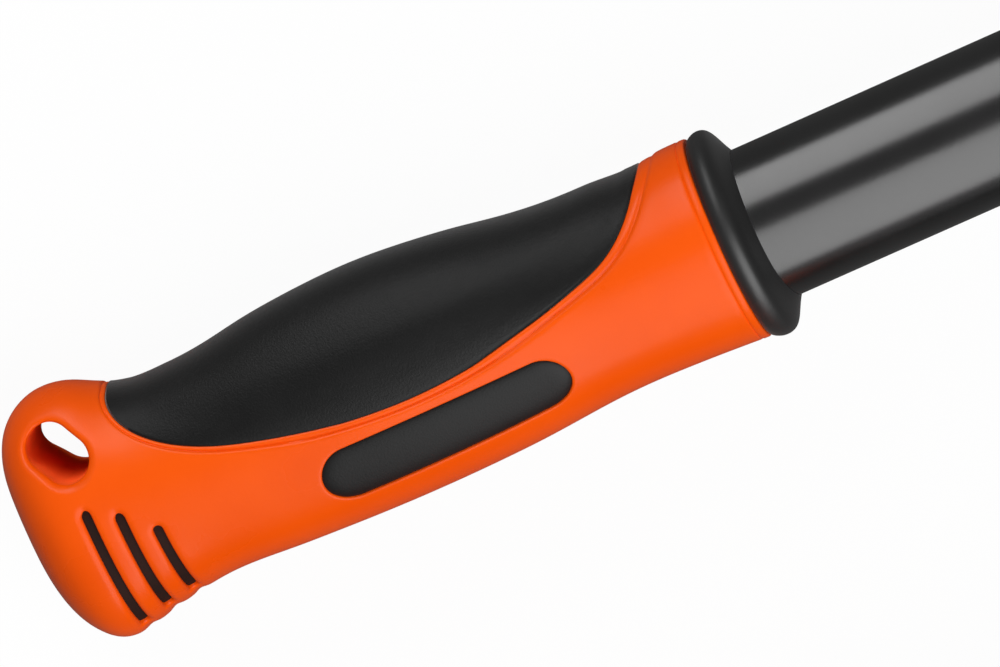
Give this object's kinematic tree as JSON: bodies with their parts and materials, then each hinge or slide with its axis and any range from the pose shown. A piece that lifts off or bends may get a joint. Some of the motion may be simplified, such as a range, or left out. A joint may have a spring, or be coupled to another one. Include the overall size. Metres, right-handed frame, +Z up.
{
  "type": "post hole digger",
  "caption": "Clamshell post hole digger lying on its side: steel tube handles with two-colour moulded grips turn on a pivot bolt, and spreading them closes the facing scoop blades.",
  "frame": {"origin": "on the floor under the middle of the tool's length and width, lying on its side", "axes": "+X along the tool from the grips to the blade tips, +Y towards the left half, +Z up; the tool's own axis rises 2.99 degrees towards the blades because it rests on the blade shoulders and the grip butts"},
  "size_m": [1.1999, 0.1844, 0.1462],
  "materials": {
    "grip_shell": "orange moulded polypropylene with a fine satin texture",
    "soft_grip": "black soft-touch elastomer, matte with a fine spark texture",
    "collar": "black moulded elastomer, satin",
    "tube_paint": "gloss black stove enamel on steel tube",
    "bracket_paint": "black powder coat on pressed steel",
    "blade_paint": "black powder coat on pressed steel, ground bare along the cutting edge",
    "zinc": "zinc plated steel fasteners"
  },
  "bodies": {
    "left_half": {"left_handle_tube": "tube_paint", "left_grip_shell": "grip_shell", "left_palm_pad": "soft_grip", "left_side_inlays": "soft_grip", "left_butt_inlays": "soft_grip", "left_grip_collar": "collar", "left_hinge_bracket": "bracket_paint", "left_bracket_bolts": "zinc", "left_bracket_nuts": "zinc", "left_blade": "blade_paint", "left_blade_rivets": "zinc", "pivot_bolt": "zinc", "pivot_nut": "zinc", "pivot_washers": "zinc", "pivot_sleeve": "zinc"},
    "right_half": {"right_handle_tube": "tube_paint", "right_grip_shell": "grip_shell", "right_palm_pad": "soft_grip", "right_side_inlays": "soft_grip", "right_butt_inlays": "soft_grip", "right_grip_collar": "collar", "right_hinge_bracket": "bracket_paint", "right_bracket_bolts": "zinc", "right_bracket_nuts": "zinc", "right_blade": "blade_paint", "right_blade_rivets": "zinc"}
  },
  "joints": [
    {"name": "blade_hinge", "type": "hinge", "parent": "left_half", "child": "right_half", "pos_m": [0.31033, 0, 0.06555], "axis": [-0.0521, 0, 0.9986], "range_deg": [-5, 27.3]}
  ]
}
